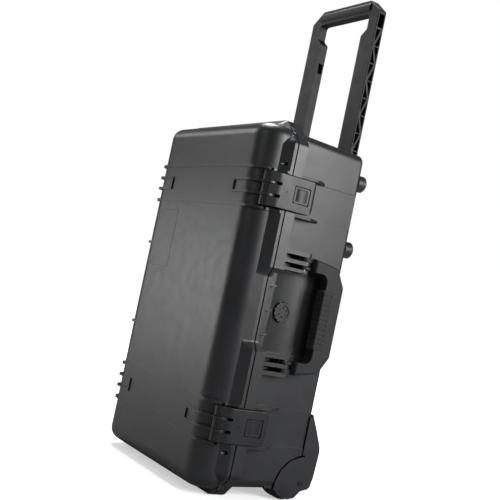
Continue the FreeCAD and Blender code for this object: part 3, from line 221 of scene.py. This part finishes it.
def moulded(name, colour, rough, grain, grain_depth, wear=0.35, soften=0.0005, shine=0.5):
    """Moulded plastic: spark-eroded grain, slightly uneven gloss, and edges rubbed paler."""
    paint = Paint(name)
    clouds = paint.noise(14, 4)
    smudge = paint.noise(55, 5, 0.6)
    fine = paint.noise(grain, 3, 0.6)
    worn = paint.maths("MULTIPLY", paint.edges(0.0011), paint.spread(paint.noise(160, 3), 0.25, 1))
    body = paint.mix(paint.spread(clouds, 0, 1), shade(colour, 0.85), shade(colour, 1.18))
    tone = paint.mix(paint.maths("MULTIPLY", worn, wear), body, shade(colour, 3.2))
    gloss = paint.maths(
        "ADD", paint.spread(smudge, rough - 0.04, rough + 0.05), paint.spread(fine, -0.03, 0.03)
    )
    mottle = paint.noise(420, 3, 0.7)
    normal = paint.rounded(soften)
    normal = paint.bump(paint.noise(26, 1), 0.0006, normal, 0.25)
    normal = paint.bump(mottle, 0.00016, normal, 0.6)
    normal = paint.bump(fine, grain_depth, normal)
    return paint.finish(Base_Color=tone, Roughness=gloss, Normal=normal, Specular_IOR_Level=shine)


def rubber(name, colour, rough, grain):
    paint = Paint(name)
    dust = paint.spread(paint.noise(40, 5, 0.65), 0, 0.5)
    fine = paint.noise(grain, 4, 0.7)
    tone = paint.mix(dust, shade(colour, 0.9), shade(colour, 1.7))
    normal = paint.bump(fine, 0.00012, paint.rounded(0.0006))
    gloss = paint.spread(fine, rough - 0.08, rough + 0.08)
    return paint.finish(Base_Color=tone, Roughness=gloss, Normal=normal, Sheen_Weight=0.15)


def steel(name, colour, rough, stretch):
    """Turned or drawn steel: fine lines, and a slight stain."""
    paint = Paint(name)
    lines = paint.noise(900, 2, 0.5, stretch)
    stain = paint.noise(120, 4)
    tone = paint.mix(paint.spread(stain, 0, 1), shade(colour, 0.75), shade(colour, 1.1))
    gloss = paint.spread(lines, rough - 0.08, rough + 0.12)
    normal = paint.bump(lines, 0.00003, paint.rounded(0.0003))
    return paint.finish(Base_Color=tone, Roughness=gloss, Metallic=1.0, Normal=normal)


def foam_cells(name, colour):
    """Closed-cell foam: small bumped cells of uneven depth, painted shade in each cell's pit, and
    a dusty bloom.
    """
    paint = Paint(name)
    cells = paint.cells(620)
    small = paint.cells(1500)
    bloom = paint.spread(paint.noise(22, 4), 0, 1)
    # painted shade mask: 1 at each cell's centre, where its pit is, and 0 at the cell's rim
    pit_shade = paint.spread(cells, 1, 0, 0.1, 0.7)
    tone = paint.mix(bloom, shade(colour, 0.85), shade(colour, 1.25))
    # painted shade: each cell's pit is mixed part of the way towards a much darker foam colour
    tone = paint.mix(paint.maths("MULTIPLY", pit_shade, 0.35), tone, shade(colour, 0.35))
    normal = paint.bump(cells, 0.0007)
    normal = paint.bump(small, 0.0003, normal)
    return paint.finish(Base_Color=tone, Roughness=0.93, Normal=normal, Sheen_Weight=0.2)


def woven_membrane(name):
    paint = Paint(name)
    fibres = paint.noise(2600, 4, 0.7, (1, 1, 2.5))
    tone = paint.mix(paint.spread(fibres, 0, 1), (0.62, 0.62, 0.60, 1), (0.80, 0.80, 0.78, 1))
    return paint.finish(Base_Color=tone, Roughness=0.8, Normal=paint.bump(fibres, 0.0001))


def pale_floor(name):
    """A white sweep, brighter away from the case, that throws little light back onto it."""
    paint = Paint(name)
    cloud = paint.noise(3, 4)
    tone = paint.mix(paint.spread(cloud, 0, 1), (0.84, 0.84, 0.84, 1), (0.88, 0.88, 0.88, 1))
    reach = paint.add("ShaderNodeVectorMath", operation="LENGTH")
    paint.feed(reach.inputs[0], paint.where)
    glow = paint.spread(reach.outputs["Value"], 0.50, 1.0, 0.25, 1.5)
    paint.finish(
        Base_Color=tone,
        Roughness=0.8,
        Normal=paint.bump(paint.noise(120), 0.0002),
        Emission_Color=(1, 1, 1, 1),
        Emission_Strength=glow,
        Specular_IOR_Level=0.0,
    )
    path = paint.add("ShaderNodeLightPath")
    dull = paint.add("ShaderNodeBsdfDiffuse")
    dull.inputs["Color"].default_value = (0.30, 0.30, 0.31, 1)
    seen = paint.add("ShaderNodeMixShader")
    paint.feed(seen.inputs[0], path.outputs["Is Camera Ray"])
    paint.feed(seen.inputs[1], dull.outputs[0])
    paint.feed(seen.inputs[2], paint.shader.outputs[0])
    out = next(n for n in paint.tree.nodes if n.type == "OUTPUT_MATERIAL")
    paint.feed(out.inputs["Surface"], seen.outputs[0])
    return paint.material


FINISHES = {
    "shell_plastic": moulded("shell_plastic_look", (0.016, 0.0165, 0.0175), 0.36, 1500, 0.00010),
    "latch_plastic": moulded(
        "latch_plastic_look", (0.012, 0.0125, 0.0135), 0.38, 1100, 0.00008, shine=0.36
    ),
    "handle_plastic": moulded(
        "handle_plastic_look", (0.013, 0.0135, 0.0145), 0.52, 1300, 0.00008, shine=0.30
    ),
    "grip_rubber": rubber("grip_rubber_look", (0.008, 0.008, 0.009), 0.74, 1600),
    "seal_rubber": rubber("seal_rubber_look", (0.018, 0.018, 0.019), 0.55, 1400),
    "tyre_rubber": rubber("tyre_rubber_look", (0.022, 0.022, 0.023), 0.62, 1200),
    "pin_steel": steel("pin_steel_look", (0.55, 0.56, 0.58), 0.30, (1, 1, 0.02)),
    "bearing_steel": steel("bearing_steel_look", (0.62, 0.63, 0.65), 0.22, (0.02, 1, 1)),
    "screw_steel": steel("screw_steel_look", (0.06, 0.06, 0.065), 0.38, (1, 1, 1)),
    "plate_finish": moulded("plate_look", (0.020, 0.0205, 0.0215), 0.38, 700, 0.00005, 0.15),
    "valve_membrane": woven_membrane("valve_membrane_look"),
    "foam": foam_cells("foam_look", (0.030, 0.031, 0.034)),
}


def paint_nodes():
    for part in frame["record"]["subparts"]:
        node = frame["nodes"][part["node"]]
        node.data.materials.clear()
        node.data.materials.append(FINISHES[part["material_slot"]])


# --- foam ---------------------------------------------------------------------------------------


def new_piece(name, mesh, body, slot):
    piece = bpy.data.objects.new(name, mesh)
    scene.collection.objects.link(piece)
    piece.data.materials.clear()
    piece.data.materials.append(FINISHES[slot])
    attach(piece, body)
    return piece


PEAK_PITCH = 0.026
PEAK_RISE = 0.0095
PEAK_ROOM = 0.020
PEAK_MARGIN = 0.006
FOAM_MESH_STEP = 0.0026


def crate_foam():
    """The lid's convoluted foam: rows of round peaks on a flat backing."""
    low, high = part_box("lid_foam")
    across = int(round((high.x - low.x) / FOAM_MESH_STEP))
    along = int(round((high.z - low.z) / FOAM_MESH_STEP))
    xs = np.linspace(low.x, high.x, across + 1)
    zs = np.linspace(low.z, high.z, along + 1)
    grid_x, grid_z = np.meshgrid(xs, zs, indexing="ij")
    wave = np.sin(2 * math.pi * (grid_x - low.x) / (2 * PEAK_PITCH)) * np.sin(
        2 * math.pi * (grid_z - low.z) / (2 * PEAK_PITCH)
    )
    valley = high.y - PEAK_ROOM
    edge = np.minimum.reduce([grid_x - low.x, high.x - grid_x, grid_z - low.z, high.z - grid_z])
    fall = np.clip(edge / PEAK_MARGIN, 0, 1) ** 0.5
    top = valley + (PEAK_RISE + PEAK_RISE * wave) * fall
    count_x, count_z = grid_x.shape
    front = np.stack([grid_x, top, grid_z], -1).reshape(-1, 3)
    back = front.copy()
    back[:, 1] = low.y
    points = np.vstack([front, back])
    offset = len(front)
    faces = []

    def spot(i, j):
        return i * count_z + j

    for i in range(count_x - 1):
        for j in range(count_z - 1):
            quad = (spot(i, j), spot(i, j + 1), spot(i + 1, j + 1), spot(i + 1, j))
            faces.append(quad)
    rim = [spot(i, 0) for i in range(count_x)]
    rim += [spot(count_x - 1, j) for j in range(1, count_z)]
    rim += [spot(i, count_z - 1) for i in range(count_x - 2, -1, -1)]
    rim += [spot(0, j) for j in range(count_z - 2, 0, -1)]
    for a, b in zip(rim, rim[1:] + rim[:1]):
        faces.append((a, b, b + offset, a + offset))
    faces.append(tuple(n + offset for n in rim))
    mesh = bpy.data.meshes.new("lid_foam_crate")
    mesh.from_pydata(points.tolist(), [], faces)
    solid = bmesh.new()
    solid.from_mesh(mesh)
    loose = [v for v in solid.verts if not v.link_faces]
    bmesh.ops.delete(solid, geom=loose, context="VERTS")
    bmesh.ops.recalc_face_normals(solid, faces=solid.faces)
    solid.to_mesh(mesh)
    solid.free()
    for polygon in mesh.polygons:
        polygon.use_smooth = len(polygon.vertices) == 4 and abs(polygon.normal.y) > 0.1
    piece = new_piece("lid_foam_crate", mesh, "lid", "foam")
    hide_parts("lid_foam")


def softened(node, name, voxel, smooth):
    """A mesh of a CAD node's shape with its edges rounded as foam's are, inside the node's box."""
    source = frame["nodes"][node]
    piece = bpy.data.objects.new(name, source.data.copy())
    scene.collection.objects.link(piece)
    remesh = piece.modifiers.new("remesh", "REMESH")
    remesh.mode = "VOXEL"
    remesh.voxel_size = voxel
    ease = piece.modifiers.new("ease", "SMOOTH")
    ease.iterations = smooth
    ease.factor = 0.5
    bpy.context.view_layer.update()
    graph = bpy.context.evaluated_depsgraph_get()
    mesh = bpy.data.meshes.new_from_object(piece.evaluated_get(graph), depsgraph=graph)
    bpy.data.objects.remove(piece)
    mesh.name = name
    count = len(mesh.vertices)
    points = np.zeros(count * 3)
    mesh.vertices.foreach_get("co", points)
    points = points.reshape(-1, 3)
    low, high = (np.array(corner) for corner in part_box(node))
    points = np.clip(points, low, high)
    mesh.vertices.foreach_set("co", points.ravel())
    for polygon in mesh.polygons:
        polygon.use_smooth = True
    return mesh


def cut_foams():
    """The base's foam with its pockets, and the pad under it."""
    mesh = softened("base_foam", "base_foam_cut", 0.003, 3)
    block = new_piece("base_foam_cut", mesh, "base", "foam")
    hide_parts("base_foam")
    mesh = softened("base_pad", "base_pad_cut", 0.004, 3)
    pad = new_piece("base_pad_cut", mesh, "base", "foam")
    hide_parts("base_pad")


# --- tyres --------------------------------------------------------------------------------------

TREAD_DEPTH = 0.0014
TREAD_PAIRS = 22
TYRE_HEIGHT = 0.0095
SHOULDER_DROP = 0.0045
CROWN = 0.0009
STEPS_ACROSS = 36
STEPS_AROUND = 264


def tyre_profile(half, rim, radius):
    """The tyre's section as (along the axle, radius, share of tread depth) points."""
    bevel = (half - 0.0018, radius - 0.0014, 0)
    wall = [(half, radius - SHOULDER_DROP, 0), (half, rim, 0)]
    far_side = [bevel, *wall]
    points = [(-along, reach, share) for along, reach, share in reversed(far_side)]
    for step in range(STEPS_ACROSS + 1):
        along = -half + 0.004 + (2 * half - 0.008) * step / STEPS_ACROSS
        points.append((along, radius, 1))
    return points + far_side


def tread_depth(along, turn, half):
    """How deep the tread is cut: two grooves round the tyre and slanted sipes between them."""
    rings = min(abs(abs(along) - half * 0.36), 0.0011) < 0.0009
    slant = turn * TREAD_PAIRS / math.tau + abs(along) / half * 0.55
    sipe = abs(slant % 1 - 0.5) < 0.10 and abs(along) > half * 0.42
    block = abs((slant * 0.5) % 1 - 0.5) < 0.045 and abs(along) < half * 0.3
    return TREAD_DEPTH if rings or sipe or block else 0


def tyre(side):
    """A tyre with a moulded tread, in the place of the plain one."""
    low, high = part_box(f"wheel_tyre_{side}")
    middle = (low + high) / 2
    half = (high.x - low.x) / 2
    radius = (high.z - low.z) / 2
    section = tyre_profile(half, radius - TYRE_HEIGHT, radius)
    points = []
    for step in range(STEPS_AROUND):
        turn = math.tau * step / STEPS_AROUND
        for along, reach, share in section:
            at = reach - share * tread_depth(along, turn, half)
            if share:
                at -= CROWN * (along / half) ** 4
            spoke = Vector((along, at * math.cos(turn), at * math.sin(turn)))
            points.append(tuple(middle + spoke))
    count = len(section)
    faces = []
    for step in range(STEPS_AROUND):
        here, there = step * count, (step + 1) % STEPS_AROUND * count
        for k in range(count):
            after = (k + 1) % count
            faces.append((here + k, there + k, there + after, here + after))
    mesh = bpy.data.meshes.new(f"tyre_tread_{side}")
    mesh.from_pydata(points, [], faces)
    solid = bmesh.new()
    solid.from_mesh(mesh)
    bmesh.ops.recalc_face_normals(solid, faces=solid.faces)
    solid.to_mesh(mesh)
    solid.free()
    piece = new_piece(f"tyre_tread_{side}", mesh, f"wheel_{side}", "tyre_rubber")
    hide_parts(f"wheel_tyre_{side}")


# --- the scene ----------------------------------------------------------------------------------


def add_floor():
    bpy.ops.mesh.primitive_plane_add(size=30, location=(0, 0, cad_box[0][2] - 0.0002))
    floor = bpy.context.object
    floor.name = "floor"
    floor.data.materials.append(pale_floor("floor_look"))


add_camera()
add_world()
add_floor()
# The sheens are soft boxes that the lid, the pull handle's legs and the side mirror to the camera.
add_area("lid_sheen", (-1.22, -1.06, 0.30), (0.0, -0.17, 0.20), 0.7, 0.5, 5.0)
add_area("leg_sheen", (-1.44, -0.93, 1.22), (0.0, 0.10, 0.70), 0.5, 0.5, 6.0)
add_area("side_sheen", (1.68, 0.80, 0.95), (0.15, 0.0, 0.42), 0.55, 1.1, 34)
add_area("recess_sheen", (1.85, 0.12, 0.90), (0.15, 0.03, 0.30), 0.45, 0.6, 6)
add_area("top", (-0.8, 0.0, 2.4), (0, 0, 0.4), 0.8, 0.8, 60)
add_area("front", (0.6, -3.0, 1.6), (0, 0, 0.3), 1.2, 1.2, 10)
scene.view_settings.view_transform = "Standard"
paint_nodes()
crate_foam()
cut_foams()
for side in ("left", "right"):
    tyre(side)
